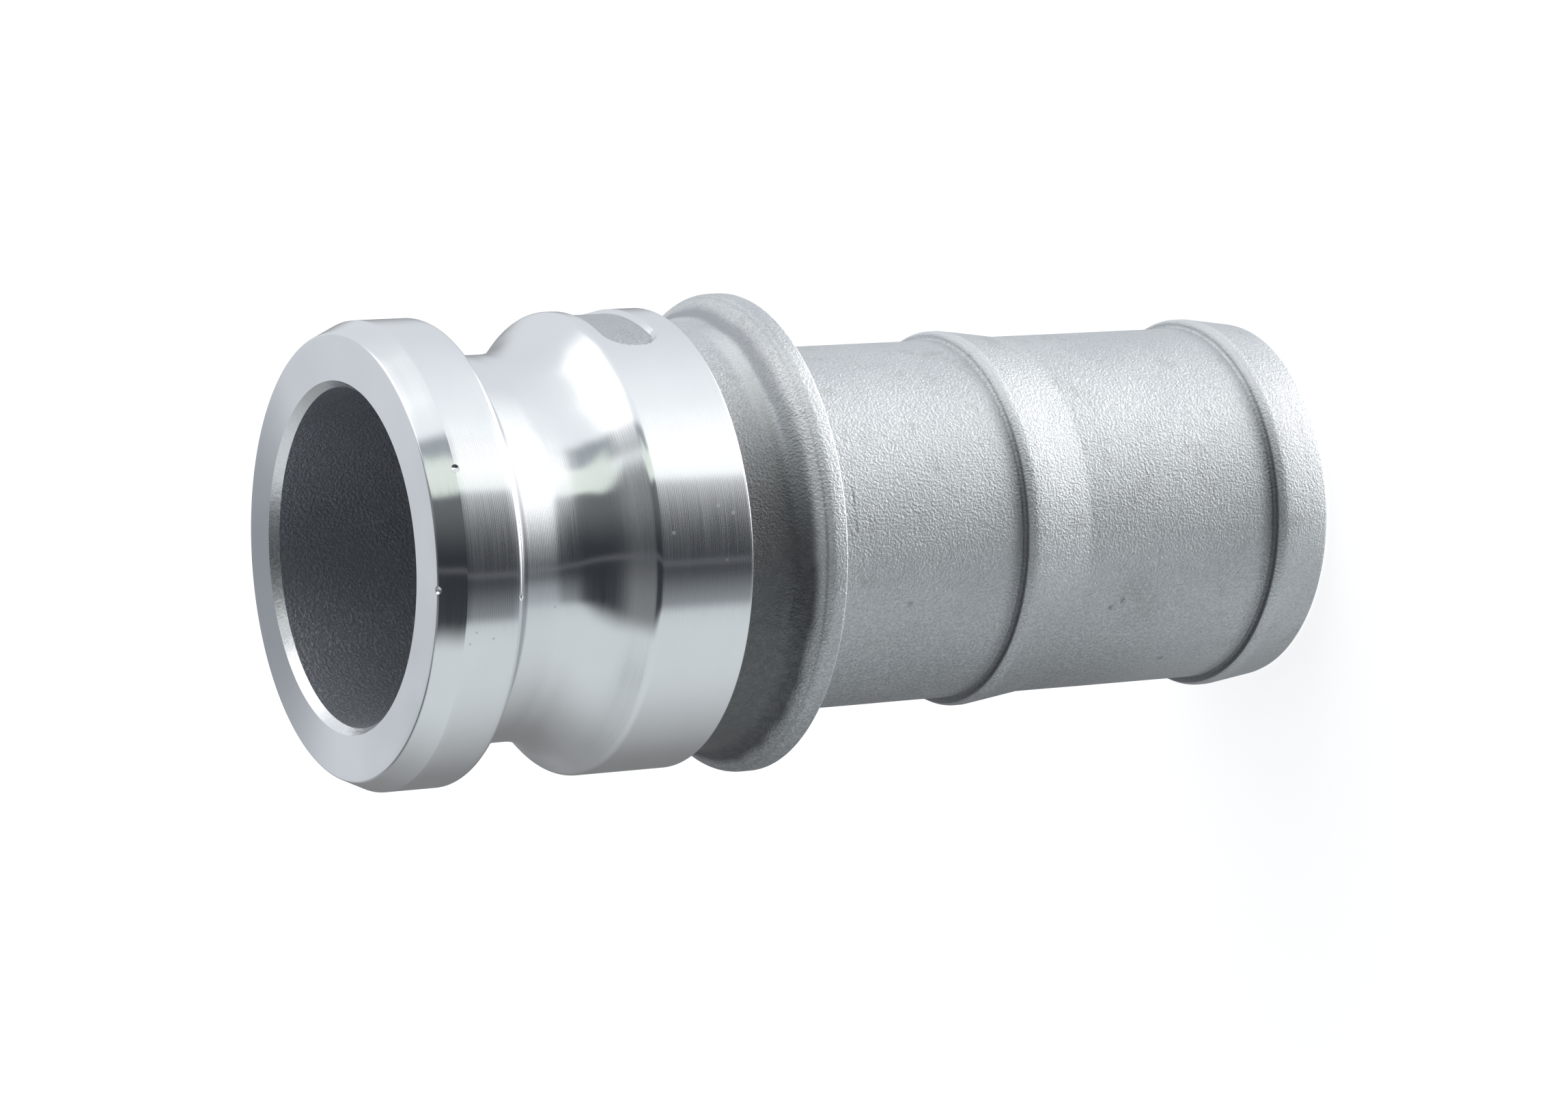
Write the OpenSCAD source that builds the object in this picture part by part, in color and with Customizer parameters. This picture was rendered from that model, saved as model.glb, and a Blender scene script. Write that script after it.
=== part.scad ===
// Male half of a 2 inch cam and groove coupling, with a serrated hose shank.
// One aluminium casting: the nose, the groove and the body land are turned, the rest is left as cast.
// It stands on its hose end: Z = 0 is the hose end face and +Z runs along the axis to the nose face.
// The middle of the marking recess on the body land faces -Y. All sizes are in millimetres.

/* [Spigot] */
// Outside diameter of the nose land and the body land
spigot_d = 63; // [61:0.5:66]
// Outside diameter of the flat sealing face at the nose
face_d = 59.8; // [57:0.2:60.4]
// Length of the tapered lead-in behind the sealing face
lead_in_len = 3.5; // [2:0.1:5]
// Length of the nose land, from the lead-in to the groove
nose_len = 8.1; // [6:0.1:10]
// Rounding of the nose land's edge at the groove
nose_edge_r = 0.9; // [0.3:0.1:1.2]
// Length of the body land, from the groove to the neck
body_len = 14; // [11:0.5:18]
// Rounding of the body land's edge at the groove
body_edge_r = 1.4; // [0.4:0.1:2]
// Edge break on the turned corners
edge_break = 0.2; // [0.1:0.05:0.4]

/* [Cam groove] */
// Diameter at the bottom of the groove
groove_d = 52.3; // [51:0.1:54]
// Width of the groove between the sharp corners of the two lands
groove_w = 19.8; // [19:0.2:24]
// Angle of the groove's rear flank to the axis
groove_flank = 45; // [42:1:50]
// Radius of the hollow where the cams bear, between the bottom and the rear flank
groove_arc_r = 10; // [6:0.5:11]
// Lean of the groove's front wall
groove_wall_lean = 15; // [5:1:25]
// Fillet between the groove's bottom and its front wall
groove_wall_fillet = 2; // [1:0.25:2.5]

/* [Marking recess] */
// Length of the recess round the body land
recess_w = 26; // [16:1:32]
// Height of the recess along the axis
recess_h = 8.2; // [5:0.2:9]
// Height of the recess's middle above the middle of the body land
recess_rise = 1.2; // [0:0.1:2]
// Depth of the recess below the body land
recess_depth = 0.6; // [0.3:0.1:1]

/* [Neck and flange] */
// Diameter of the neck between the flange and the body land
neck_d = 59; // [57:0.5:60]
// Distance from the flange's rear face to the body land
neck_len = 13.6; // [12:0.2:18]
// Fillet between the neck and the flange's front
neck_fillet = 5.8; // [2:0.2:6]
// Outside diameter of the flange
flange_d = 66.1; // [65.6:0.1:72]
// Width of the flange's rim
flange_w = 2.7; // [2.2:0.1:4]
// Angle of the flange's front to the axis
flange_slope = 55; // [45:1:60]
// Rounding of the flange's front edge
flange_edge_r = 2; // [0.5:0.1:2]
// Rounding of the flange's rear edge
flange_back_r = 0.4; // [0.2:0.1:0.8]
// Fillet between the flange's rear face and the shank
flange_root_r = 0.8; // [0.4:0.1:1.5]

/* [Hose shank] */
// Length of the shank, from the hose end to the flange
shank_len = 82.2; // [78:0.2:100]
// Diameter of the shank
shank_d = 50.4; // [49:0.2:51.4]
// Number of barbs
barb_count = 2; // [1:1:2]
// Diameter over the barbs' crests
barb_d = 52.9; // [52.5:0.1:54]
// Distance from the hose end to the first barb's step
barb_end = 8.9; // [7:0.1:10]
// Distance between the barbs' steps
barb_pitch = 41; // [30:0.5:48]
// Length of a barb, from its step to the foot of its taper
barb_len = 10.5; // [10:0.5:16]
// Width of a barb's cylindrical crest
crest_w = 0.8; // [0.5:0.1:1.5]
// Width of the sloped shoulder between a barb's step and its crest
shoulder_w = 0.9; // [0.5:0.1:1.5]
// Height of that shoulder
shoulder_h = 0.4; // [0.2:0.05:0.45]
// Fillet at the foot of a barb's step
step_fillet = 0.5; // [0.1:0.1:0.5]
// Fillet at the foot of a barb's taper
taper_fillet = 6; // [1:1:12]
// Rounding of the hose end's outer edge
end_edge_r = 0.8; // [0.4:0.1:1.2]

/* [Waterway] */
// Diameter of the waterway
bore_d = 45.5; // [43:0.5:46]
// Radial width of the chamfer at the nose
mouth_chamfer_w = 0.9; // [0.4:0.1:1.4]
// Length of the chamfer at the nose
mouth_chamfer_len = 1.2; // [0.6:0.1:2]
// Chamfer at the hose end
end_chamfer = 0.4; // [0.2:0.1:0.8]

/* [Hidden] */

spigot_r = spigot_d / 2;
face_r = face_d / 2;
groove_r = groove_d / 2;
neck_r = neck_d / 2;
flange_r = flange_d / 2;
shank_r = shank_d / 2;
barb_r = barb_d / 2;
bore_r = bore_d / 2;

// Heights of the sharp corners above the hose end
flange_z = shank_len;
rim_z = flange_z + flange_w;
neck_z = rim_z + (flange_r - neck_r) / tan(flange_slope);
body_z = flange_z + neck_len;
groove_z = body_z + body_len;
flank_z = groove_z + (spigot_r - groove_r) / tan(groove_flank);
nose_z = groove_z + groove_w;
wall_z = nose_z - (spigot_r - groove_r) * tan(groove_wall_lean);
lead_z = nose_z + nose_len;
total_len = lead_z + lead_in_len;

// Radius of the cut-off taper where the last barb runs out at the hose end
barb_h = barb_r - shank_r;
taper_len = barb_len - shoulder_w - crest_w;
end_r = barb_r - barb_h * min(1, (barb_end - shoulder_w - crest_w) / taper_len);

// A barb's step has a small rounding at its top
step_edge_r = 0.25;
// Largest angle between two points of a rounded corner
arc_step = 7.5;

function unit(v) = v / norm(v);

// Points that round the corner p = [radius, height, rounding] between its neighbours a and b
function corner_points(a, p, b) =
    p[2] == 0
    ? [[p[0], p[1]]]
    : let (
        tip = [p[0], p[1]],
        to_a = unit([a[0], a[1]] - tip),
        to_b = unit([b[0], b[1]] - tip),
        half = acos(to_a * to_b) / 2,
        centre = tip + unit(to_a + to_b) * p[2] / sin(half),
        from_c = tip + to_a * p[2] / tan(half) - centre,
        turn = sign(to_a[1] * to_b[0] - to_a[0] * to_b[1]) * (180 - 2 * half),
        steps = ceil(abs(turn) / arc_step)
    )
    [
        for (i = [0:steps])
            let (t = turn * i / steps)
            centre + [
                from_c[0] * cos(t) - from_c[1] * sin(t),
                from_c[0] * sin(t) + from_c[1] * cos(t)
            ]
    ];

// A closed outline with every corner rounded by its own radius
function rounded(corners) = [
    for (i = [0:len(corners) - 1])
        each corner_points(
            corners[(i + len(corners) - 1) % len(corners)],
            corners[i],
            corners[(i + 1) % len(corners)]
        )
];

// One barb, from the foot of its taper up to its step; the lowest taper is cut off by the hose end
function barb_corners(i) =
    let (step_z = barb_end + i * barb_pitch)
    [
        if (i > 0) [shank_r, step_z - barb_len, taper_fillet],
        [barb_r, step_z - shoulder_w - crest_w, 0],
        [barb_r, step_z - shoulder_w, 0],
        [barb_r - shoulder_h, step_z, step_edge_r],
        [shank_r, step_z, step_fillet]
    ];

shank_corners = [
    [end_r, 0, end_edge_r],
    for (i = [0:barb_count - 1]) each barb_corners(i)
];

flange_corners = [
    [shank_r, flange_z, flange_root_r],
    [flange_r, flange_z, flange_back_r],
    [flange_r, rim_z, flange_edge_r],
    [neck_r, neck_z, neck_fillet]
];

spigot_corners = [
    [neck_r, body_z, edge_break],
    [spigot_r, body_z, edge_break],
    [spigot_r, groove_z, body_edge_r],
    [groove_r, flank_z, groove_arc_r],
    [groove_r, wall_z, groove_wall_fillet],
    [spigot_r, nose_z, nose_edge_r],
    [spigot_r, lead_z, edge_break],
    [face_r, total_len, edge_break]
];

bore_corners = [
    [bore_r + mouth_chamfer_w, total_len, 0],
    [bore_r, total_len - mouth_chamfer_len, 0],
    [bore_r, end_chamfer, 0],
    [bore_r + end_chamfer, 0, 0]
];

// Half section of the casting, from the bore to the outside
module section() {
    polygon(rounded(concat(shank_corners, flange_corners, spigot_corners, bore_corners)));
}

// Oval with round ends, lying along X
module oval(w, h) {
    square([w - h, h], center = true);
    for (side = [-1, 1])
        translate([side * (w - h) / 2, 0])
            circle(d = h, $fn = 64);
}

// Shallow oval recess in the middle of the body land, with its floor round the axis
module marking_recess() {
    recess_z = (body_z + groove_z) / 2 + recess_rise;
    floor_r = spigot_r - recess_depth;
    difference() {
        translate([0, 0, recess_z])
            rotate([90, 0, 0])
                linear_extrude(height = spigot_d)
                    oval(recess_w, recess_h);
        translate([0, 0, body_z])
            cylinder(r = floor_r, h = body_len, $fn = 180);
    }
}

// The whole casting
module adapter() {
    color([0.78, 0.79, 0.8])
        difference() {
            rotate_extrude($fn = 180)
                section();
            marking_recess();
        }
}

adapter();
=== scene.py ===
"""The looks of the hose shank adapter: one finely meshed casting, turned and cast, in a pale studio.

The part stands nose up on its hose end. Sizes are in millimetres and repeat the solid's.
Blender works in metres.
"""

import math

import bpy
import numpy as np
from mathutils import Matrix, Vector, noise


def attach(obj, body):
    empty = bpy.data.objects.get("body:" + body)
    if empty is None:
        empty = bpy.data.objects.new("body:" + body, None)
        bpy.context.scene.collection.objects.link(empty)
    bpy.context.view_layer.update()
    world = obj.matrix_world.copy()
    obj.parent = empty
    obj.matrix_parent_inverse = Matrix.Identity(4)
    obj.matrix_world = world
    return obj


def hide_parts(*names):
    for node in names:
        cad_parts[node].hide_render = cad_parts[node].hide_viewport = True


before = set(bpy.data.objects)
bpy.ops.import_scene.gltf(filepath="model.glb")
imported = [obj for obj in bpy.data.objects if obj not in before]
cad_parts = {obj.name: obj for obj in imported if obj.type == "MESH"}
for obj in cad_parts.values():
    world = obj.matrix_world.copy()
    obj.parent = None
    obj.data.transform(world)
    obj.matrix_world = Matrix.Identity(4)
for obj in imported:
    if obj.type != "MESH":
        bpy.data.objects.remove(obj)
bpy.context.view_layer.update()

MM = 0.001

# Spigot
SPIGOT_R = 31.5
FACE_R = 29.9
LEAD_IN_LEN = 3.5
NOSE_LEN = 8.1
NOSE_EDGE_R = 0.9
BODY_LEN = 14.0
BODY_EDGE_R = 1.4
EDGE_BREAK = 0.2
FACE_EDGE_R = 0.45

# Cam groove
GROOVE_R = 26.15
GROOVE_W = 19.8
GROOVE_FLANK = 45.0
GROOVE_ARC_R = 10.0
GROOVE_WALL_LEAN = 15.0
GROOVE_WALL_FILLET = 2.0
GROOVE_FLAT = 2.4
GROOVE_FLAT_R = 9.0
GROOVE_RISE = 0.9

# Marking recess, in the middle of the body land
RECESS_W = 26.0
RECESS_H = 8.2
RECESS_RISE = 1.2
RECESS_DEPTH = 0.6
RECESS_WALL = 0.45
RECESS_AZIMUTH = -90.0

# Neck and flange
NECK_R = 29.5
NECK_LEN = 13.6
NECK_FILLET = 5.8
FLANGE_R = 33.05
FLANGE_W = 2.7
FLANGE_SLOPE = 55.0
FLANGE_EDGE_R = 2.0
FLANGE_BACK_R = 0.4
FLANGE_ROOT_R = 0.8

# Low ridge along the flange's front edge, and the shallow line behind it
RIDGE_RISE = 0.95
RIDGE_H = 0.12
RIDGE_W = 0.35
LINE_BEHIND = 0.85
LINE_DEPTH = 0.10
LINE_W = 0.3

# Hose shank
SHANK_LEN = 82.2
SHANK_R = 25.2
BARB_COUNT = 2
BARB_R = 26.45
BARB_END = 8.9
BARB_PITCH = 41.0
BARB_LEN = 10.5
CREST_W = 0.8
SHOULDER_W = 0.9
SHOULDER_H = 0.4
STEP_EDGE_R = 0.25
STEP_FILLET = 0.5
TAPER_FILLET = 6.0
END_EDGE_R = 0.8

# Waterway
BORE_R = 22.75
MOUTH_CHAMFER_W = 0.9
MOUTH_CHAMFER_LEN = 1.2
END_CHAMFER = 0.4

# Unevenness of the cast skin: its slow and its quick waves, per mm and in height
SLOW_WAVES = 0.07
SLOW_WAVE_H = 0.05
QUICK_WAVES = 0.28
QUICK_WAVE_H = 0.012
# The uneven skin lies this far under the solid, and stops this short of the hose end and the body land
SKIN_SINK = 0.04
SKIN_MARGIN = 0.5

# Heights above the hose end
RIM_Z = SHANK_LEN + FLANGE_W
NECK_Z = RIM_Z + (FLANGE_R - NECK_R) / math.tan(math.radians(FLANGE_SLOPE))
BODY_Z = SHANK_LEN + NECK_LEN
GROOVE_Z = BODY_Z + BODY_LEN
FLANK_Z = GROOVE_Z + (SPIGOT_R - GROOVE_R) / math.tan(math.radians(GROOVE_FLANK))
NOSE_Z = GROOVE_Z + GROOVE_W
HOLLOW_Z = FLANK_Z + GROOVE_ARC_R * math.tan(math.radians(GROOVE_FLANK / 2))
WALL_Z = NOSE_Z - (SPIGOT_R - GROOVE_R - GROOVE_RISE) * math.tan(math.radians(GROOVE_WALL_LEAN))
LEAD_Z = NOSE_Z + NOSE_LEN
TOTAL_LEN = LEAD_Z + LEAD_IN_LEN
RECESS_Z = (BODY_Z + GROOVE_Z) / 2 + RECESS_RISE
RIDGE_Z = RIM_Z + RIDGE_RISE
FILLET_Z = NECK_Z + 2.0

# Fineness of the mesh, in degrees
COLUMN_STEP = 1.5
RECESS_STEP = 0.5
RECESS_HALF = 26.0
ARC_STEP = 4.0
SMALL_ARC_STEP = 15.0
SHARP_ANGLE = 32.0

# Tints of the turned metal
TURNED_DARK = (0.86, 0.875, 0.89, 1)
TURNED_PALE = (0.93, 0.94, 0.95, 1)
DOT_TINT = (0.62, 0.63, 0.65, 1)
FACE_SHADE_TINT = (0.30, 0.31, 0.33, 1)
WALL_FOOT_SHADE_TINT = (0.42, 0.43, 0.45, 1)

# Tints of the cast skin
SKIN_DARK = (0.66, 0.68, 0.70, 1)
SKIN_PALE = (0.73, 0.75, 0.765, 1)
GRAIN_TINT = (0.88, 0.89, 0.90, 1)
# Pale tint for wear, flecks, scratches and the machined mouth, and for painted highlights
WEAR_AND_HIGHLIGHT_TINT = (0.92, 0.93, 0.94, 1)
PEPPER_TINT = (0.30, 0.31, 0.33, 1)
SIDE_SHADE_TINT = (0.33, 0.345, 0.36, 1)
SMUDGE_TINT = (0.49, 0.50, 0.495, 1)
STAIN_TINT = (0.42, 0.43, 0.42, 1)
PIT_TINT = (0.27, 0.28, 0.29, 1)
RECESS_TINT = (0.52, 0.54, 0.56, 1)
FLANGE_SKIN_AND_SHADE_TINT = (0.47, 0.485, 0.51, 1)
NECK_FOOT_SHADE_TINT = (0.14, 0.144, 0.15, 1)
NECK_SHADE_TINT = (0.196, 0.201, 0.202, 1)
NECK_SHADE_LUMP_TINT = (0.42, 0.43, 0.43, 1)
FOOT_SHADE_TINT = (0.23, 0.235, 0.25, 1)
END_SHADE_TINT = (0.50, 0.51, 0.53, 1)
SHADOW_TINT = (0.38, 0.39, 0.41, 1)
CRACK_TINT = (0.08, 0.085, 0.09, 1)

# Tints of the waterway
BORE_DARK = (0.49, 0.51, 0.55, 1)
BORE_PALE = (0.58, 0.60, 0.64, 1)
BORE_LIT_SIDE_TINT = (0.85, 0.87, 0.92, 1)
BORE_GRAIN_TINT = (0.95, 0.96, 0.98, 1)
BORE_DEEP_TINT = (0.88, 0.89, 0.91, 1)

# Azimuths, in degrees, of the sides that get painted shade: on the shank, the neck and flange, the barbs'
# steps and the nose's face
SHANK_SHADE_SIDE = 95.0
NECK_FLANGE_SHADE_SIDE = 130.0
FOOT_SHADE_SIDE = 140.0
FACE_SHADE_SIDE = 20.0
# Azimuths of the lit sides: painted highlights on the flange's rim and fillet, painted shade against glare
# on the hose end, painted light in the waterway
RIM_LIGHT_SIDE = -148.0
FILLET_LIGHT_SIDE = -127.0
END_LIGHT_SIDE = -138.0
BORE_LIGHT_SIDE = 80.0

# Sizes of the marks and of the lathe's feed
DENT_SIZE = 0.6
DOT_SIZE = 0.3
PIT_SIZE = 0.7
STAIN_SIZE = 5.0
BRIGHT_SCRATCH_W = 0.22
DARK_SCRATCH_W = 0.3
BORE_STREAK_W = 0.4
LATHE_FEED = 0.26
# Noises over the surface, in waves per mm
TURNED_CLOUDS = 0.12
TURNED_RINGS = 3.4
TURNED_STREAKS = 9.0
CAST_BLOTCHES = 0.11
CAST_SWAY = 0.15
CAST_SMUDGES = 0.22
CAST_LUMPS = 0.9
CAST_LINES = 1.6
CAST_GRAIN = 2.8
CAST_PEPPER = 3.8
BORE_BLOTCHES = 0.1
BORE_GRAIN = 2.2
# Depths of the bumps
DENT_DEPTH = 0.25
FEED_DEPTH = 0.0016
RING_DEPTH = 0.002
LUMP_DEPTH = 0.03
GRAIN_DEPTH = 0.18
BORE_GRAIN_DEPTH = 0.11

# Small marks on the turned surfaces: (azimuth in degrees, height, radius)
DENTS = [(-148.8, 137.6, 31.5), (-178, 141.1, 29.8), (179.7, 129.7, 31.3)]
BRIGHT_DOTS = [(-167.6, 107.55, 31.5), (-161.8, 100.6, 31.5), (-163.7, 98.5, 31.5), (-174.9, 99.8, 31.5)]
DARK_DOTS = [(171.7, 136.1, 31.5), (168.9, 136.9, 31.5), (169.9, 133.6, 31.5), (173.4, 122.3, 26.3)]
# Pits and smudges on the shank
PITS = [(164.7, 67.4, 25.2), (158, 34.5, 25.2), (160.5, 32.8, 25.2), (132, 21.6, 25.2)]
STAINS = [(163, 31.5, 25.2), (155, 29, 25.2)]
# Scratches on the cast skin, bright and dark, each from one such place to another
BRIGHT_SCRATCHES = [
    ((-135.2, 33.4, 25.3), (-131.9, 31.4, 25.3)),
    ((-127.1, 28.2, 25.3), (-127.1, 26.2, 25.3)),
    ((147.5, 35.0, 25.3), (146.2, 29.0, 25.3)),
]
DARK_SCRATCHES = [
    ((-157.0, 76.5, 25.3), (-171.0, 76.4, 25.1)),
    ((173.5, 88.5, 29.9), (168.0, 88.7, 29.9)),
    ((168.0, 88.7, 29.9), (163.3, 89.2, 29.9)),
]
# Faint streaks on the waterway's wall
BORE_STREAKS = [
    ((0.5, 128.3, 22.75), (-1.0, 123.8, 22.75)),
    ((32.0, 130.0, 22.75), (32.5, 124.5, 22.75)),
    ((38.2, 139.0, 22.75), (37.2, 136.0, 22.75)),
]

# The photograph's camera, in the part's frame
CAMERA_AT = (-660.93, -135.73, 444.10)
CAMERA_RIGHT = (-0.48358, -0.03146, -0.8747)
CAMERA_UP = (0.17334, -0.98304, -0.0604)
SENSOR_W = 36.0
FOCAL_PIXELS = 8121.4
PHOTO_W = 2296

# Studio directions, in degrees: azimuth from straight back to the picture's right, and elevation
TABLE_AIM = (15, 0)
DUSK_AIM = (178, -12)
# Windows of such directions: left, right, low, high
KEY_LEFT = (-110, -38, 24, 66)
KEY_RIGHT = (58, 132, -8, 48)
KEY_CORE = (90, 140, 4, 46)
SILL = (55, 88, -13, -3)
CORNER = (-122, -62, -46, -12)
SHADE = (-50, 54, 42, 55)
STRIP = (-24, 54, 24, 42)
ROOM = (-85, 100, -60, 24)
STREAK = (-85, 80, -10, -7.6)

# Studio light far from the camera and near it
TABLE_LIGHT = ((0.283, 0.29, 0.296, 1), (0.64, 0.68, 0.70, 1))
WALL_LIGHT = ((0.62, 0.65, 0.69, 1), (0.46, 0.50, 0.53, 1))
CEILING_LIGHT = ((0.72, 0.75, 0.79, 1), (0.88, 0.92, 0.95, 1))
# Light of the windows
KEY_LEFT_LIGHT = (1.5, 1.5, 1.5, 1)
KEY_RIGHT_LIGHT = (1.45, 1.45, 1.45, 1)
KEY_CORE_LIGHT = (3.8, 3.8, 3.8, 1)
SILL_LIGHT = (0.20, 0.22, 0.24, 1)
DUSK_LIGHT = (0.216, 0.22, 0.224, 1)
CORNER_LIGHT = (0.12, 0.13, 0.14, 1)
SHADE_LIGHT = (0.33, 0.36, 0.39, 1)
STRIP_LIGHT = (0.80, 0.87, 0.80, 1)
# Light in the dark room: low down and high up; at its left, in the middle and off it; on two patches
ROOM_LIGHT = ((0.030, 0.034, 0.040, 1), (0.13, 0.14, 0.145, 1))
GLOW_LIGHT = ((0.085, 0.09, 0.095, 1), (0.24, 0.25, 0.26, 1))
SPILL_LIGHT = (0.42, 0.45, 0.48, 1)
STREAK_LIGHT = (0.10, 0.105, 0.115, 1)

# Floor, in metres
FLOOR_W = 6.0
PATCH_LIFT = 0.0001
PATCH_SIDES = 64
FLOOR_TINT = (0.8, 0.8, 0.8, 1)
FLOOR_GLOW = 0.70
WHITE = (1, 1, 1, 1)


# Outline


def unit(v):
    return v / np.linalg.norm(v)


def corner_points(before, corner, after, arc_step):
    """Points that round a corner (radius, height, rounding, ...) between its neighbours."""
    tip = np.array(corner[:2])
    rounding = corner[2]
    if rounding == 0:
        return [tip]
    to_before = unit(np.array(before[:2]) - tip)
    to_after = unit(np.array(after[:2]) - tip)
    half = math.acos(float(to_before @ to_after)) / 2
    centre = tip + unit(to_before + to_after) * rounding / math.sin(half)
    start = tip + to_before * rounding / math.tan(half) - centre
    side = to_before[1] * to_after[0] - to_before[0] * to_after[1]
    turn = math.copysign(math.pi - 2 * half, side)
    steps = max(2, math.ceil(abs(math.degrees(turn)) / arc_step))
    points = []
    for i in range(steps + 1):
        t = turn * i / steps
        out = start[0] * math.cos(t) - start[1] * math.sin(t)
        up = start[0] * math.sin(t) + start[1] * math.cos(t)
        points.append(centre + np.array((out, up)))
    return points


def barb_corners(i):
    """One barb, from the foot of its taper up to its step; the lowest taper is cut off by the hose end."""
    step_z = BARB_END + i * BARB_PITCH
    foot = [(SHANK_R, step_z - BARB_LEN, TAPER_FILLET)] if i > 0 else []
    return foot + [
        (BARB_R, step_z - SHOULDER_W - CREST_W, 0),
        (BARB_R, step_z - SHOULDER_W, 0),
        (BARB_R - SHOULDER_H, step_z, STEP_EDGE_R),
        (SHANK_R, step_z, STEP_FILLET),
    ]


def outline():
    """Stretches of the section's outline, round from the hose end: (finish, tallest row in mm, corners)."""
    taper_len = BARB_LEN - SHOULDER_W - CREST_W
    run_out = min(1, (BARB_END - SHOULDER_W - CREST_W) / taper_len)
    end_r = BARB_R - (BARB_R - SHANK_R) * run_out
    shank = [(BORE_R + END_CHAMFER, 0, 0), (end_r, 0, END_EDGE_R)]
    for i in range(BARB_COUNT):
        shank += barb_corners(i)
    flange = [
        (SHANK_R, SHANK_LEN, FLANGE_ROOT_R),
        (FLANGE_R, SHANK_LEN, FLANGE_BACK_R),
        (FLANGE_R, RIM_Z, FLANGE_EDGE_R),
        (NECK_R, NECK_Z, NECK_FILLET),
    ]
    body = [
        (NECK_R, BODY_Z, EDGE_BREAK),
        (SPIGOT_R, BODY_Z, EDGE_BREAK),
        (SPIGOT_R, GROOVE_Z, BODY_EDGE_R),
    ]
    groove = [
        (GROOVE_R, FLANK_Z, GROOVE_ARC_R),
        (GROOVE_R, HOLLOW_Z + GROOVE_FLAT, GROOVE_FLAT_R),
        (GROOVE_R + GROOVE_RISE, WALL_Z, GROOVE_WALL_FILLET),
        (SPIGOT_R, NOSE_Z, NOSE_EDGE_R),
    ]
    nose = [
        (SPIGOT_R, LEAD_Z, EDGE_BREAK),
        (FACE_R, TOTAL_LEN, FACE_EDGE_R),
    ]
    mouth = [(BORE_R + MOUTH_CHAMFER_W, TOTAL_LEN, 0)]
    bore = [
        (BORE_R, TOTAL_LEN - MOUTH_CHAMFER_LEN, 0),
        (BORE_R, END_CHAMFER, 0),
    ]
    return [
        ("cast", 2.5, shank + flange),
        ("turned", 0.3, body),
        ("turned", 1.0, groove + nose),
        ("cast", 1.0, mouth),
        ("bore", 6.0, bore),
    ]


def section_rows():
    """Rows (radius, height, finish of the band that follows) round the closed outline."""
    corners = [(*c, finish, tall) for finish, tall, group in outline() for c in group]
    count = len(corners)
    rows = []
    for i, corner in enumerate(corners):
        before = corners[i - 1]
        after = corners[(i + 1) % count]
        arc_step = ARC_STEP if corner[2] >= 1 else SMALL_ARC_STEP
        points = corner_points(before, corner, after, arc_step)
        rows += [(float(p[0]), float(p[1]), corner[3], corner[4]) for p in points]
    filled = []
    for i, (r, z, finish, tall) in enumerate(rows):
        r2, z2 = rows[(i + 1) % len(rows)][:2]
        parts = max(1, math.ceil(math.hypot(r2 - r, z2 - z) / tall))
        for k in range(parts):
            filled.append((r + (r2 - r) * k / parts, z + (z2 - z) * k / parts, finish))
    return filled


# Mesh


def column_angles(fine_spans):
    """Angles round the axis, closer together inside the spans (middle, half width, step in degrees)."""
    angles = set(np.round(np.arange(0, 360, COLUMN_STEP), 4))
    for middle, half, step in fine_spans:
        angles = {a for a in angles if abs((a - middle + 180) % 360 - 180) > half}
        inside = np.arange(middle - half, middle + half + step / 2, step) % 360
        angles |= set(np.round(inside, 4))
    return np.radians(sorted(angles))


def smooth(t):
    """Eases from 0 to 1 as t goes from 0 to 1."""
    t = min(1.0, max(0.0, t))
    return t * t * (3 - 2 * t)


def recess_depth(z, angle):
    """How far the marking recess lowers the body land here."""
    across = math.remainder(angle - math.radians(RECESS_AZIMUTH), 2 * math.pi) * SPIGOT_R
    beyond = max(0.0, abs(across) - (RECESS_W - RECESS_H) / 2)
    inside = RECESS_H / 2 - math.hypot(beyond, z - RECESS_Z)
    return RECESS_DEPTH * smooth(inside / RECESS_WALL)


def in_recess(points, face):
    """Whether a face of the body land lies on the marking recess's floor."""
    z = points[face[0]][2] / MM
    if abs(z - RECESS_Z) > RECESS_H / 2:
        return False
    return all(BORE_R + 1 < math.hypot(*points[i][:2]) / MM < SPIGOT_R - 0.6 * RECESS_DEPTH for i in face)


def cast_wave(x, y, z):
    """Slow unevenness of the cast skin, in mm."""
    slow = noise.noise(Vector((x, y, z)) * SLOW_WAVES)
    quick = noise.noise(Vector((x + 50, y, z)) * QUICK_WAVES)
    return SLOW_WAVE_H * slow + QUICK_WAVE_H * quick


def flange_ridge(z):
    """Height of the ridge along the flange's front edge, less the depth of the line behind it, in mm."""
    ridge = math.exp(-(((z - RIDGE_Z) / RIDGE_W) ** 2))
    line = math.exp(-(((z - RIDGE_Z + LINE_BEHIND) / LINE_W) ** 2))
    return RIDGE_H * ridge - LINE_DEPTH * line


def placed(r, z, finish, angle):
    """A point of the surface in metres."""
    if finish == "turned" and BODY_Z < z < GROOVE_Z and r > SPIGOT_R - EDGE_BREAK:
        r -= recess_depth(z, angle)
    if finish != "turned" and SKIN_MARGIN < z < BODY_Z - SKIN_MARGIN:
        wave = cast_wave(r * math.cos(angle), r * math.sin(angle), z)
        r = min(r + wave + flange_ridge(z) - SKIN_SINK, FLANGE_R)
    return (r * math.cos(angle) * MM, r * math.sin(angle) * MM, z * MM)


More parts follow.
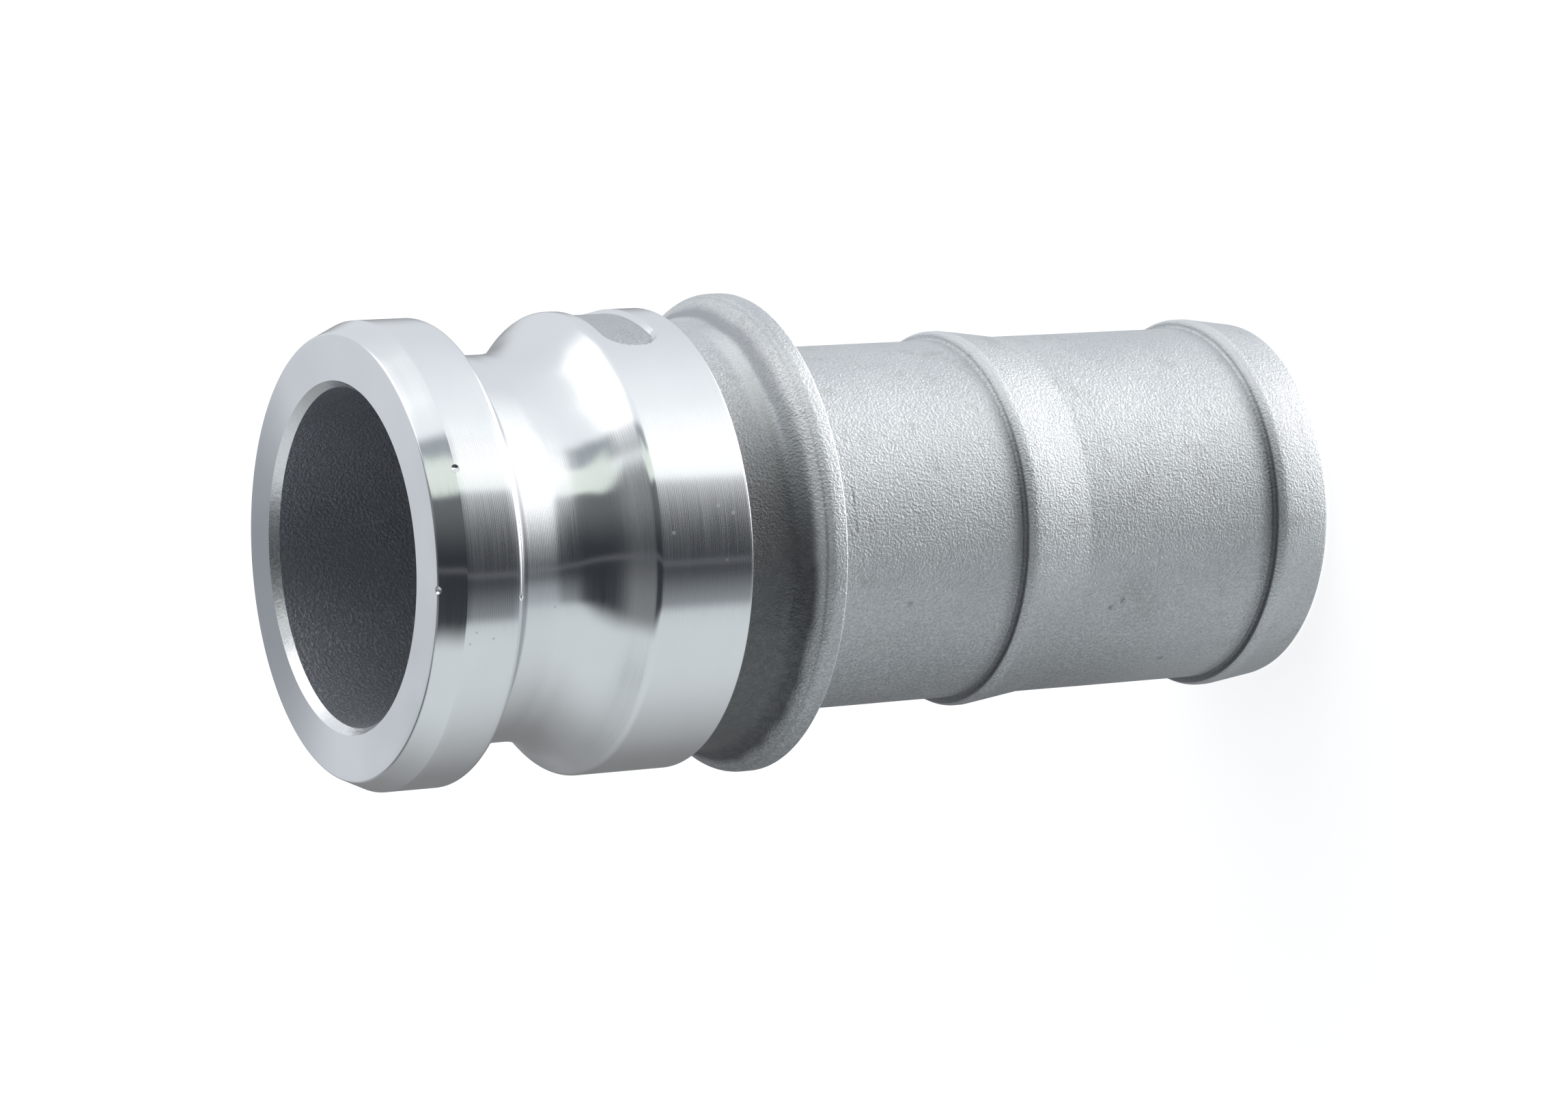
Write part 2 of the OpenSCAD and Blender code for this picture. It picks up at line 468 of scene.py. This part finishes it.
def zip_rings(lower, upper, lower_angles, upper_angles):
    """Triangles between two rings of vertices whose angles differ."""
    faces = []
    i = 0
    j = 0
    while i < len(lower) or j < len(upper):
        next_i = lower_angles[i + 1] if i + 1 < len(lower) else 2 * math.pi
        next_j = upper_angles[j + 1] if j + 1 < len(upper) else 2 * math.pi
        a = lower[i % len(lower)]
        b = upper[j % len(upper)]
        if j >= len(upper) or (i < len(lower) and next_i <= next_j):
            faces.append((a, lower[(i + 1) % len(lower)], b))
            i += 1
        else:
            faces.append((a, upper[(j + 1) % len(upper)], b))
            j += 1
    return faces


def casting_mesh(finishes):
    """The whole casting as one closed skin, each face with the number of its finish."""
    coarse = column_angles([])
    fine = column_angles([(RECESS_AZIMUTH, RECESS_HALF, RECESS_STEP)])
    rows = section_rows()
    points = []
    rings = []
    for r, z, finish in rows:
        on_spigot = z > BODY_Z - 1 and r > BORE_R + 0.01
        angles = fine if on_spigot else coarse
        start = len(points)
        points += [placed(r, z, finish, a) for a in angles]
        rings.append((range(start, len(points)), angles))
    faces = []
    numbers = []
    for i, (ring, angles) in enumerate(rings):
        next_ring, next_angles = rings[(i + 1) % len(rings)]
        if len(angles) == len(next_angles):
            n = len(ring)
            band = [(ring[k], ring[(k + 1) % n], next_ring[(k + 1) % n], next_ring[k]) for k in range(n)]
        else:
            band = zip_rings(ring, next_ring, angles, next_angles)
        faces += band
        numbers += [finishes.index("cast" if in_recess(points, f) else rows[i][2]) for f in band]
    mesh = bpy.data.meshes.new("casting")
    mesh.from_pydata(points, [], faces)
    mesh.polygons.foreach_set("material_index", numbers)
    mesh.polygons.foreach_set("use_smooth", [True] * len(faces))
    mesh.set_sharp_from_angle(angle=math.radians(SHARP_ANGLE))
    mesh.validate()
    return mesh


# Materials


def surface_point(azimuth, height, radius):
    """A marked place as a point in mm."""
    a = math.radians(azimuth)
    return Vector((radius * math.cos(a), radius * math.sin(a), height))


class Nodes:
    """Short calls for building a node tree."""

    def __init__(self, tree):
        self.tree = tree
        tree.nodes.clear()

    def add(self, kind, **settings):
        node = self.tree.nodes.new(kind)
        for name, value in settings.items():
            setattr(node, name, value)
        return node

    def link(self, source, socket):
        self.tree.links.new(source, socket)

    def put(self, value, socket):
        """Sets a socket to a number or colour, or links it to another node's output."""
        if isinstance(value, bpy.types.NodeSocket):
            self.link(value, socket)
        else:
            socket.default_value = value

    def math(self, operation, a, b=0.0):
        node = self.add("ShaderNodeMath", operation=operation)
        for value, socket in zip((a, b), node.inputs):
            self.put(value, socket)
        return node.outputs[0]

    def times(self, a, b):
        return self.math("MULTIPLY", a, b)

    def plus(self, a, b):
        return self.math("ADD", a, b)

    def minus(self, a, b):
        return self.math("SUBTRACT", a, b)

    def vector(self, operation, a, b=(0, 0, 0), scale=1.0):
        node = self.add("ShaderNodeVectorMath", operation=operation)
        for value, socket in zip((a, b, (0, 0, 0), scale), node.inputs):
            self.put(value, socket)
        return node.outputs["Value" if operation in ("DOT_PRODUCT", "DISTANCE") else "Vector"]

    def dot(self, vector, axis):
        return self.vector("DOT_PRODUCT", vector, axis)

    def ramp(self, value, low, high, to_low=0.0, to_high=1.0, kind="SMOOTHSTEP"):
        node = self.add("ShaderNodeMapRange", interpolation_type=kind)
        for given, socket in zip((value, low, high, to_low, to_high), node.inputs):
            self.put(given, socket)
        return node.outputs[0]

    def mix(self, amount, a, b):
        node = self.add("ShaderNodeMix", data_type="RGBA")
        self.put(amount, node.inputs[0])
        self.put(a, node.inputs[6])
        self.put(b, node.inputs[7])
        return node.outputs[2]

    def bump(self, height, distance, below=None):
        node = self.add("ShaderNodeBump")
        node.inputs["Strength"].default_value = 1.0
        node.inputs["Distance"].default_value = distance
        self.link(height, node.inputs["Height"])
        if below is not None:
            self.link(below, node.inputs["Normal"])
        return node.outputs["Normal"]


class Finish(Nodes):
    """A metal in the making: its shader, where its points are (in mm and radians) and its tint so far."""

    def __init__(self, name):
        self.material = bpy.data.materials.new(name)
        self.material.use_nodes = True
        super().__init__(self.material.node_tree)
        self.shader = self.add("ShaderNodeBsdfPrincipled")
        self.set("Metallic", 1.0)
        output = self.add("ShaderNodeOutputMaterial")
        self.link(self.shader.outputs[0], output.inputs["Surface"])
        self.where = self.vector("SCALE", self.add("ShaderNodeTexCoord").outputs["Object"], scale=1 / MM)
        split = self.add("ShaderNodeSeparateXYZ")
        self.link(self.where, split.inputs[0])
        self.angle = self.math("ARCTAN2", split.outputs["Y"], split.outputs["X"])
        self.height = split.outputs["Z"]
        self.tint = None

    def set(self, socket, value):
        """Sets one of the shader's sockets."""
        self.put(value, self.shader.inputs[socket])

    def paint(self, tint, amount, most=1.0):
        """Lays a tint over the metal, by an amount from 0 to 1 that is taken times the most of it."""
        share = amount if most == 1 else self.times(amount, most)
        self.tint = self.mix(share, self.tint, tint)

    def noise(self, scale, detail=2.0, roughness=0.5, squash=1.0):
        """Noise over the metal; a squash below 1 draws it out across the axis."""
        where = self.where
        if squash != 1:
            mapping = self.add("ShaderNodeMapping")
            self.link(where, mapping.inputs["Vector"])
            mapping.inputs["Scale"].default_value = (squash, squash, 1.0)
            where = mapping.outputs["Vector"]
        node = self.add("ShaderNodeTexNoise")
        self.link(where, node.inputs["Vector"])
        node.inputs["Scale"].default_value = scale
        node.inputs["Detail"].default_value = detail
        node.inputs["Roughness"].default_value = roughness
        return node.outputs["Fac"]

    def band(self, low, high, soft, height=None):
        """1 between two heights, falling to 0 over a soft width at either end."""
        height = self.height if height is None else height
        rising = self.ramp(height, low - soft, low + soft)
        return self.times(rising, self.ramp(height, high - soft, high + soft, 1, 0))

    def facing(self, side, low, high, most=1.0):
        """From 0 to most where the skin turns towards an azimuth, by the cosine of the angle to it."""
        toward = self.math("COSINE", self.minus(self.angle, math.radians(side)))
        return self.ramp(toward, low, high, 0, most)

    def spots(self, places, size):
        """1 at the middle of each spot (azimuth, height, radius), falling to 0 at its size in mm."""
        total = 0.0
        for spot in places:
            away = self.vector("DISTANCE", self.where, surface_point(*spot))
            total = self.math("MAXIMUM", total, self.ramp(away, 0, size, 1, 0))
        return total

    def scratches(self, ends, width):
        """1 along each straight scratch between two such places, falling to 0 at its width in mm."""
        total = 0.0
        for start, end in ends:
            along = surface_point(*end) - surface_point(*start)
            offset = self.vector("SUBTRACT", self.where, surface_point(*start))
            share = self.ramp(self.dot(offset, along / along.length_squared), 0, 1, kind="LINEAR")
            away = self.vector("DISTANCE", offset, self.vector("SCALE", along, scale=share))
            total = self.math("MAXIMUM", total, self.ramp(away, 0, width, 1, 0))
        return total


def turned_finish():
    """Lathe-turned aluminium: fine rings round the axis over a bright, directional metal."""
    metal = Finish("turned_aluminium")
    rings = metal.noise(TURNED_RINGS, 3.0, 0.6, squash=0.02)
    feed_marks = metal.math("SINE", metal.times(metal.height, 2 * math.pi / LATHE_FEED))
    feed_marks = metal.times(feed_marks, metal.ramp(rings, 0.35, 0.65, 0.3, 1.0))
    normal = metal.bump(feed_marks, FEED_DEPTH * MM)
    normal = metal.bump(rings, RING_DEPTH * MM, normal)
    normal = metal.bump(metal.minus(1.0, metal.spots(DENTS, DENT_SIZE)), DENT_DEPTH * MM, normal)
    metal.set("Normal", normal)

    metal.tint = metal.mix(metal.noise(TURNED_CLOUDS, 3.0), TURNED_DARK, TURNED_PALE)
    metal.paint(DOT_TINT, metal.spots(DARK_DOTS, DOT_SIZE))
    # Painted shade: the nose's face is darker towards one side.
    on_face = metal.ramp(metal.height, TOTAL_LEN - 0.3, TOTAL_LEN - 0.05)
    metal.paint(FACE_SHADE_TINT, metal.times(on_face, metal.facing(FACE_SHADE_SIDE, 0.3, 1.0, 0.8)))
    # Painted shade in the groove's hollow, at the foot of the nose's wall.
    metal.paint(WALL_FOOT_SHADE_TINT, metal.band(WALL_Z - 1.75, WALL_Z - 0.85, 0.25), 0.8)
    metal.set("Base Color", metal.tint)

    streaks = metal.noise(TURNED_STREAKS, 2.0, squash=0.01)
    dots = metal.times(metal.spots(BRIGHT_DOTS, DOT_SIZE), 0.8)
    metal.set("Roughness", metal.plus(metal.ramp(streaks, 0.3, 0.7, 0.162, 0.198), dots))
    metal.set("Anisotropic", 1.0)
    metal.set("Anisotropic Rotation", 0.25)
    metal.set("Tangent", metal.add("ShaderNodeTangent", direction_type="RADIAL", axis="Z").outputs[0])
    return metal.material


def cast_relief(metal, grain, lumps, at_mouth):
    """Bumps of the cast skin: lumps, lines round the axis, and a grain that is finer at both ends."""
    normal = metal.bump(lumps, LUMP_DEPTH * MM)
    normal = metal.bump(metal.noise(CAST_LINES, 2.0, squash=0.08), LUMP_DEPTH * MM, normal)
    coarseness = metal.times(metal.ramp(at_mouth, 0, 1, 1, 0.1), metal.ramp(metal.height, 5, 12, 0.6, 1))
    return metal.bump(metal.times(grain, coarseness), GRAIN_DEPTH * MM, normal)


def paint_skin(metal, grain):
    """The skin as it leaves the mould and the blasting, with painted shade on one side, smudges and pits.
    """
    blotch = metal.noise(CAST_BLOTCHES, 4.0, 0.6)
    metal.tint = metal.mix(metal.ramp(blotch, 0.3, 0.7), SKIN_DARK, SKIN_PALE)
    # Painted shade: one side of the shank is darker, more so towards the flange.
    up_shank = metal.ramp(metal.height, 8, 40, 0.3, 1.0)
    metal.paint(SIDE_SHADE_TINT, metal.times(up_shank, metal.facing(SHANK_SHADE_SIDE, 0.1, 1.0, 0.9)))
    metal.paint(SMUDGE_TINT, metal.ramp(metal.noise(CAST_SMUDGES, 4.0, 0.6), 0.54, 0.70), 0.5)
    metal.paint(STAIN_TINT, metal.spots(STAINS, STAIN_SIZE), 0.35)
    metal.paint(PIT_TINT, metal.spots(PITS, PIT_SIZE))
    metal.paint(GRAIN_TINT, metal.ramp(grain, 0.35, 0.7, 0, 0.4))
    pepper = metal.noise(CAST_PEPPER, 1.0)
    metal.paint(PEPPER_TINT, metal.ramp(pepper, 0.40, 0.25, 0, 0.35))
    metal.paint(WEAR_AND_HIGHLIGHT_TINT, metal.ramp(pepper, 0.62, 0.78, 0, 0.45))


def paint_flange(metal, sway):
    """The flange's front, darker by its skin and by painted shade, and painted highlights on the lit sides
    of its rim and of the fillet above it.
    """
    # The flange's front: partly the skin's own darker tone, partly painted shade in the crease by the neck.
    metal.paint(FLANGE_SKIN_AND_SHADE_TINT, metal.band(RIDGE_Z + 0.55, FILLET_Z - 1.2, 0.55, sway))
    # Painted highlights on the lit sides of the rim and of the fillet.
    rim = metal.band(SHANK_LEN - 0.3, RIDGE_Z + 0.3, 0.3)
    rim = metal.times(rim, metal.facing(RIM_LIGHT_SIDE, 0.85, 0.97, 0.65))
    fillet = metal.band(FILLET_Z - 0.9, FILLET_Z + 1.2, 0.7, sway)
    fillet = metal.times(fillet, metal.facing(FILLET_LIGHT_SIDE, 0.85, 1.0, 0.9))
    metal.paint(WEAR_AND_HIGHLIGHT_TINT, metal.math("MAXIMUM", rim, fillet))


def paint_neck(metal, lumps, sway):
    """Painted shade on the neck's shaded side, darker and softer towards the flange."""
    # Painted shade on one side of the neck, mottled by the lumps.
    up_neck = metal.ramp(metal.height, FILLET_Z - 2.2, FILLET_Z + 0.2)
    shade_from = metal.ramp(up_neck, 0, 1, -0.1, -0.55)
    shade_to = metal.ramp(up_neck, 0, 1, 0.75, 0.45)
    shade = metal.mix(up_neck, NECK_FOOT_SHADE_TINT, NECK_SHADE_TINT)
    shade = metal.mix(metal.ramp(lumps, 0.35, 0.7, 0, 0.13), shade, NECK_SHADE_LUMP_TINT)
    neck = metal.band(RIDGE_Z + 0.3, BODY_Z + 1.0, 0.5, sway)
    metal.paint(shade, metal.times(neck, metal.facing(NECK_FLANGE_SHADE_SIDE, shade_from, shade_to)))


def paint_barbs(metal):
    """Each barb's crest gets a painted highlight on its lit side, and painted shade lies at its step on the
    other side.
    """
    # The side on which the barbs' steps are shaded.
    shaded = metal.plus(metal.facing(FOOT_SHADE_SIDE, -0.1, 0.6, 0.8), 0.1)
    for i in range(BARB_COUNT):
        step_z = BARB_END + i * BARB_PITCH
        # Painted highlight along the crest, weakest on the shaded side.
        crest = metal.band(step_z - 1.8, step_z - 0.3, 0.2)
        metal.paint(WEAR_AND_HIGHLIGHT_TINT, metal.times(crest, metal.ramp(shaded, 0.1, 0.8, 0.7, 0.1)))
        # Painted shade on the step and on the shank just above it, on the shaded side.
        shadow = metal.times(metal.band(step_z, step_z + 1.8, 0.9), 0.35)
        foot_shade = metal.math("MAXIMUM", shadow, metal.band(step_z - 0.1, step_z + 0.5, 0.12))
        metal.paint(FOOT_SHADE_TINT, metal.times(foot_shade, shaded))


def paint_edges(metal, grain, at_mouth):
    """A ragged dark line on the flange's front, partly painted shade; its bright rear edge; painted shade
    on the hose end's lit side; and the mouth.
    """
    # A dark line in the shallow line behind the ridge: partly a crack mark, partly painted shade, strongest
    # on the shaded side.
    ragged = metal.plus(metal.height, metal.ramp(grain, 0.3, 0.7, -0.1, 0.1))
    line = metal.band(RIM_Z + 0.1, RIM_Z + 0.4, 0.1, ragged)
    metal.paint(SHADOW_TINT, metal.times(line, metal.plus(metal.facing(NECK_FLANGE_SHADE_SIDE, -0.2, 0.7, 0.55), 0.15)))
    metal.paint(WEAR_AND_HIGHLIGHT_TINT, metal.band(SHANK_LEN - 0.1, SHANK_LEN + 0.25, 0.1))
    # Painted shade on the hose end's lit side, which tones down its glare.
    at_end = metal.ramp(metal.height, 6.5, 9, 1, 0)
    metal.paint(END_SHADE_TINT, metal.times(at_end, metal.facing(END_LIGHT_SIDE, 0.85, 1.0, 0.4)))
    metal.paint(WEAR_AND_HIGHLIGHT_TINT, at_mouth)


def cast_finish():
    """Blasted cast aluminium: a sparkling grain over a matte, slightly blotched metal."""
    metal = Finish("cast_aluminium")
    grain = metal.noise(CAST_GRAIN, 2.0, 0.6)
    lumps = metal.noise(CAST_LUMPS, 3.0)
    sway = metal.plus(metal.height, metal.ramp(metal.noise(CAST_SWAY, 2.0), 0.3, 0.7, -0.15, 0.15))
    at_mouth = metal.ramp(metal.height, TOTAL_LEN - 2, TOTAL_LEN - 1.5)
    metal.set("Normal", cast_relief(metal, grain, lumps, at_mouth))

    paint_skin(metal, grain)
    metal.paint(RECESS_TINT, metal.band(BODY_Z + 1, NOSE_Z, 0.5), 0.6)
    paint_flange(metal, sway)
    paint_neck(metal, lumps, sway)
    paint_barbs(metal)
    paint_edges(metal, grain, at_mouth)
    metal.paint(CRACK_TINT, metal.scratches(DARK_SCRATCHES, DARK_SCRATCH_W), 0.55)
    metal.paint(WEAR_AND_HIGHLIGHT_TINT, metal.scratches(BRIGHT_SCRATCHES, BRIGHT_SCRATCH_W))
    metal.set("Base Color", metal.tint)

    gloss = metal.ramp(grain, 0.3, 0.7, 0.58, 0.48)
    metal.set("Roughness", metal.minus(gloss, metal.times(at_mouth, 0.24)))
    return metal.material


def bore_finish():
    """The waterway's dark cast skin, with painted light on one side and paler further in."""
    metal = Finish("bore_aluminium")
    grain = metal.noise(BORE_GRAIN, 2.0, 0.6)
    metal.set("Normal", metal.bump(grain, BORE_GRAIN_DEPTH * MM))

    metal.tint = metal.mix(metal.noise(BORE_BLOTCHES, 4.0), BORE_DARK, BORE_PALE)
    # Painted light: the wall is paler on its lit side, and its grain glints most there.
    lit_side = metal.facing(BORE_LIGHT_SIDE, 0.2, 1.0)
    metal.paint(BORE_LIT_SIDE_TINT, lit_side, 0.5)
    sparkle = metal.times(metal.ramp(grain, 0.5, 0.7), metal.ramp(lit_side, 0, 1, 0.25, 0.95))
    metal.paint(BORE_GRAIN_TINT, sparkle)
    metal.paint(BORE_DEEP_TINT, metal.ramp(metal.height, TOTAL_LEN - 5, TOTAL_LEN - 45, 0, 0.8))
    metal.paint(WEAR_AND_HIGHLIGHT_TINT, metal.scratches(BORE_STREAKS, BORE_STREAK_W), 0.3)
    metal.set("Base Color", metal.tint)
    metal.set("Roughness", 0.5)
    return metal.material


def add_casting():
    finishes = {"turned": turned_finish(), "cast": cast_finish(), "bore": bore_finish()}
    mesh = casting_mesh(list(finishes))
    for material in finishes.values():
        mesh.materials.append(material)
    casting = bpy.data.objects.new("adapter_casting", mesh)
    bpy.context.scene.collection.objects.link(casting)
    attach(casting, "root")
    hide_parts("adapter")


# Studio


def add_camera():
    """The photograph's camera; returns its axes in the part's frame: right, up and back."""
    right = Vector(CAMERA_RIGHT).normalized()
    up = Vector(CAMERA_UP)
    up = (up - up.dot(right) * right).normalized()
    back = right.cross(up)
    turn = Matrix((right, up, back)).transposed().to_4x4()
    data = bpy.data.cameras.new("camera")
    data.sensor_width = SENSOR_W
    data.sensor_fit = "HORIZONTAL"
    data.lens = FOCAL_PIXELS / PHOTO_W * SENSOR_W
    data.clip_start = 0.01
    data.clip_end = 50
    camera = bpy.data.objects.new("camera", data)
    camera.matrix_world = Matrix.Translation(Vector(CAMERA_AT) * MM) @ turn
    bpy.context.scene.collection.objects.link(camera)
    bpy.context.scene.camera = camera
    return right, up, back


class Studio(Nodes):
    """The world in the making: its directions, in degrees, and the light from them so far."""

    def __init__(self, tree, right, up, back):
        super().__init__(tree)
        self.axes = (right, up, back)
        self.toward = self.add("ShaderNodeTexCoord").outputs["Generated"]
        self.elevation = self.math("DEGREES", self.math("ARCSINE", self.dot(self.toward, up)))
        turned = self.math("ARCTAN2", self.dot(self.toward, right), self.dot(self.toward, back))
        self.azimuth = self.math("DEGREES", turned)
        self.light = None

    def shine(self, light, amount):
        """Puts a light in place of what was there, by an amount from 0 to 1."""
        self.light = self.mix(amount, self.light, light)

    def near(self, aim):
        """Cosine of the angle to a direction (azimuth, elevation)."""
        azimuth, elevation = (math.radians(a) for a in aim)
        right, up, back = self.axes
        level = math.cos(azimuth) * back + math.sin(azimuth) * right
        return self.dot(self.toward, math.cos(elevation) * level + math.sin(elevation) * up)

    def window(self, edges, soft, elevation=None):
        """1 inside a window of directions (left, right, low, high), and 0 outside it."""
        left, right, low, high = edges
        elevation = self.elevation if elevation is None else elevation
        sides = self.times(
            self.ramp(self.azimuth, left - soft, left + soft),
            self.ramp(self.azimuth, right - soft, right + soft, 1.0, 0.0),
        )
        rows = self.times(
            self.ramp(elevation, low - soft / 2, low + soft / 2),
            self.ramp(elevation, high - soft / 2, high + soft / 2, 1.0, 0.0),
        )
        return self.times(sides, rows)

    def past(self, value, start, slope):
        """Grows by the slope once the value is past its start."""
        return self.times(self.math("MAXIMUM", self.minus(value, start), 0.0), slope)


def light_surroundings(studio):
    """A table below the picture, pale walls and a ceiling, each changing from far to near."""
    near = studio.ramp(studio.near(TABLE_AIM), -0.8, 0.3)
    table = studio.mix(near, *TABLE_LIGHT)
    wall = studio.mix(near, *WALL_LIGHT)
    ceiling = studio.mix(near, *CEILING_LIGHT)
    studio.light = studio.mix(studio.ramp(studio.elevation, -38, -10), table, wall)
    studio.shine(ceiling, studio.ramp(studio.elevation, 2, 24))


def light_boxes(studio):
    """A bright box on either side; the right one is cut off at a slant and has a brighter core."""
    studio.shine(KEY_LEFT_LIGHT, studio.window(KEY_LEFT, 10))
    slant = studio.plus(studio.elevation, studio.past(studio.azimuth, 62, 1.4))
    studio.shine(KEY_RIGHT_LIGHT, studio.times(studio.window(KEY_RIGHT, 12), studio.ramp(slant, 25, 43)))
    studio.shine(KEY_CORE_LIGHT, studio.window(KEY_CORE, 14))


def dim_patches(studio):
    """A sill, the dusk beyond the part, a corner, and a shade that droops to the left over a pale strip."""
    studio.shine(SILL_LIGHT, studio.window(SILL, 6))
    studio.shine(DUSK_LIGHT, studio.ramp(studio.near(DUSK_AIM), 0.75, 0.97))
    studio.shine(CORNER_LIGHT, studio.window(CORNER, 12))
    drooping = studio.plus(studio.elevation, studio.past(studio.times(studio.azimuth, -1.0), 0, 0.35))
    studio.shine(SHADE_LIGHT, studio.window(SHADE, 7, drooping))
    studio.shine(STRIP_LIGHT, studio.window(STRIP, 2))


def in_room(studio):
    """1 in the dark room behind the camera: over the bowed table edge, left of a slant, under a lintel."""
    bowed = studio.minus(studio.elevation, studio.times(studio.math("POWER", studio.azimuth, 2.0), 0.0018))
    table_edge = studio.ramp(studio.math("ABSOLUTE", studio.azimuth), 15, 55, -47, -38)
    leaning = studio.plus(studio.azimuth, studio.past(studio.elevation, 0, 0.6))
    room = studio.times(studio.ramp(bowed, table_edge, -32), studio.ramp(leaning, 70, 80, 1, 0))
    lintel = studio.ramp(studio.azimuth, 0, 25, 0, 5)
    lintel = studio.times(lintel, studio.ramp(studio.azimuth, 48, 66, 1, 0))
    return studio.times(room, studio.window(ROOM, 3, studio.minus(studio.elevation, lintel)))


def room_light(studio):
    """Light in the dark room: darkest low down, a spill at its right, a glow at its left, and a streak."""
    sunk = studio.minus(studio.elevation, studio.past(studio.azimuth, 20, 0.2))
    light = studio.mix(studio.ramp(sunk, -6, 22), *ROOM_LIGHT)
    spill = studio.times(studio.ramp(studio.azimuth, 42, 73), studio.ramp(studio.elevation, -8, -30))
    light = studio.mix(spill, light, SPILL_LIGHT)
    off_middle = studio.math("ABSOLUTE", studio.plus(studio.elevation, 5))
    glow = studio.mix(studio.ramp(off_middle, 0, 20), *GLOW_LIGHT)
    light = studio.mix(studio.ramp(studio.azimuth, -8, -42), light, glow)
    return studio.mix(studio.window(STREAK, 1), light, STREAK_LIGHT)


def add_world(right, up, back):
    """A pale studio, which lights the part and shows in its reflections; the camera sees plain white."""
    world = bpy.data.worlds.new("studio")
    bpy.context.scene.world = world
    world.use_nodes = True
    studio = Studio(world.node_tree, right, up, back)
    light_surroundings(studio)
    light_boxes(studio)
    dim_patches(studio)
    studio.shine(room_light(studio), in_room(studio))
    studio.shine(WHITE, studio.add("ShaderNodeLightPath").outputs["Is Camera Ray"])
    background = studio.add("ShaderNodeBackground")
    studio.link(studio.light, background.inputs["Color"])
    output = studio.add("ShaderNodeOutputWorld")
    studio.link(background.outputs[0], output.inputs["Surface"])


def white_finish():
    """Matte white that the camera sees as plain white and that still takes a shadow."""
    material = bpy.data.materials.new("floor_white")
    material.use_nodes = True
    nodes = Nodes(material.node_tree)
    diffuse = nodes.add("ShaderNodeBsdfDiffuse")
    diffuse.inputs["Color"].default_value = FLOOR_TINT
    glow = nodes.add("ShaderNodeEmission")
    glow.inputs["Color"].default_value = WHITE
    path = nodes.add("ShaderNodeLightPath")
    nodes.link(nodes.times(path.outputs["Is Camera Ray"], FLOOR_GLOW), glow.inputs["Strength"])
    both = nodes.add("ShaderNodeAddShader")
    nodes.link(diffuse.outputs[0], both.inputs[0])
    nodes.link(glow.outputs[0], both.inputs[1])
    output = nodes.add("ShaderNodeOutputMaterial")
    nodes.link(both.outputs[0], output.inputs["Surface"])
    return material


def add_flat(name, corners, material):
    """A level face of the floor, which isn't part of the object."""
    mesh = bpy.data.meshes.new(name)
    mesh.from_pydata(corners, [], [tuple(range(len(corners)))])
    mesh.materials.append(material)
    flat = bpy.data.objects.new(name, mesh)
    bpy.context.scene.collection.objects.link(flat)
    return flat


def add_floor():
    """White floor under the hose end, which keeps the part's soft shadow.

    The lands mirror the studio and not the floor; only the waterway's own patch of it shows in reflections.
    """
    white = white_finish()
    half = FLOOR_W / 2
    corners = [(-half, -half, 0), (half, -half, 0), (half, half, 0), (-half, half, 0)]
    floor = add_flat("floor", corners, white)
    floor.visible_glossy = False
    turns = [2 * math.pi * i / PATCH_SIDES for i in range(PATCH_SIDES)]
    radius = BORE_R * MM
    ring = [(radius * math.cos(t), radius * math.sin(t), PATCH_LIFT) for t in turns]
    add_flat("floor_inside", ring, white)


add_casting()
add_world(*add_camera())
add_floor()
bpy.context.scene.view_settings.view_transform = "Standard"
